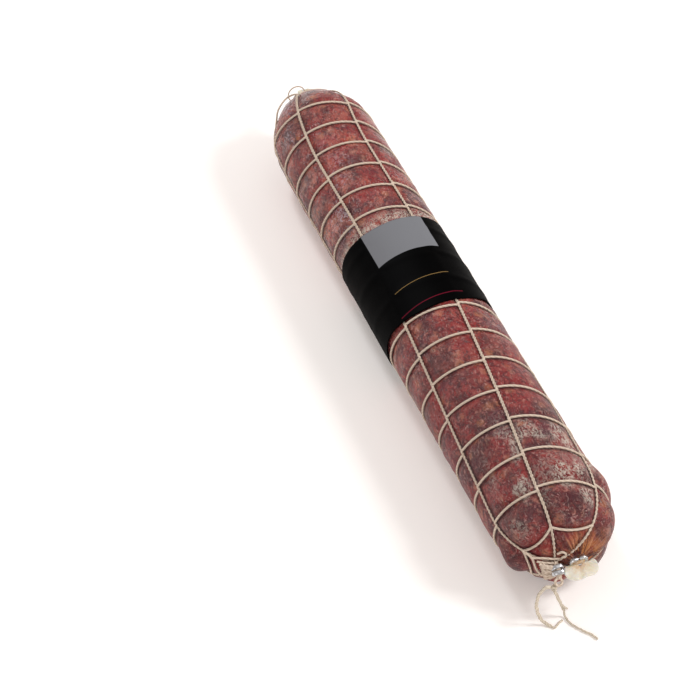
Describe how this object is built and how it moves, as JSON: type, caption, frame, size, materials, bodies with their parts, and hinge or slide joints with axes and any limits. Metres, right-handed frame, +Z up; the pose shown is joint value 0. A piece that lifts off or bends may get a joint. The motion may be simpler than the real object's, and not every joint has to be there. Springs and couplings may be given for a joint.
{
  "type": "cured sausage",
  "caption": "Large dry-cured sausage lying on its side, tied in a knitted string net, with a plain paper sleeve, metal end clips and a hanging string.",
  "frame": {"origin": "on the surface it lies on, under the middle of the sausage, net, sleeve and clips", "axes": "+X along the sausage towards the end with the hanging string, +Z up, +Y towards the side that is farther from the hanging string"},
  "size_m": [0.6266, 0.0938, 0.0914],
  "materials": {
    "cased_meat": "coarse cured meat with pale fat seen through a thin natural casing, half gloss with dry white bloom in places",
    "net_string": "cream cotton string, lengthwise strands knitted",
    "sleeve_paper": "semi-gloss black paper with a plain grey panel and thin gold and red lines",
    "clip_aluminium": "bright bent aluminium wire",
    "hanging_string": "raw cotton string, a little fuzzy"
  },
  "bodies": {
    "root": {"sausage": "cased_meat", "net": "net_string", "label_sleeve": "sleeve_paper", "front_casing_clip": "clip_aluminium", "back_casing_clip": "clip_aluminium", "front_net_clip_inner": "clip_aluminium", "front_net_clip_outer": "clip_aluminium", "back_net_clip": "clip_aluminium", "loop_knot": "hanging_string", "hanging_loop": "hanging_string", "hanging_tail": "hanging_string"}
  },
  "joints": []
}
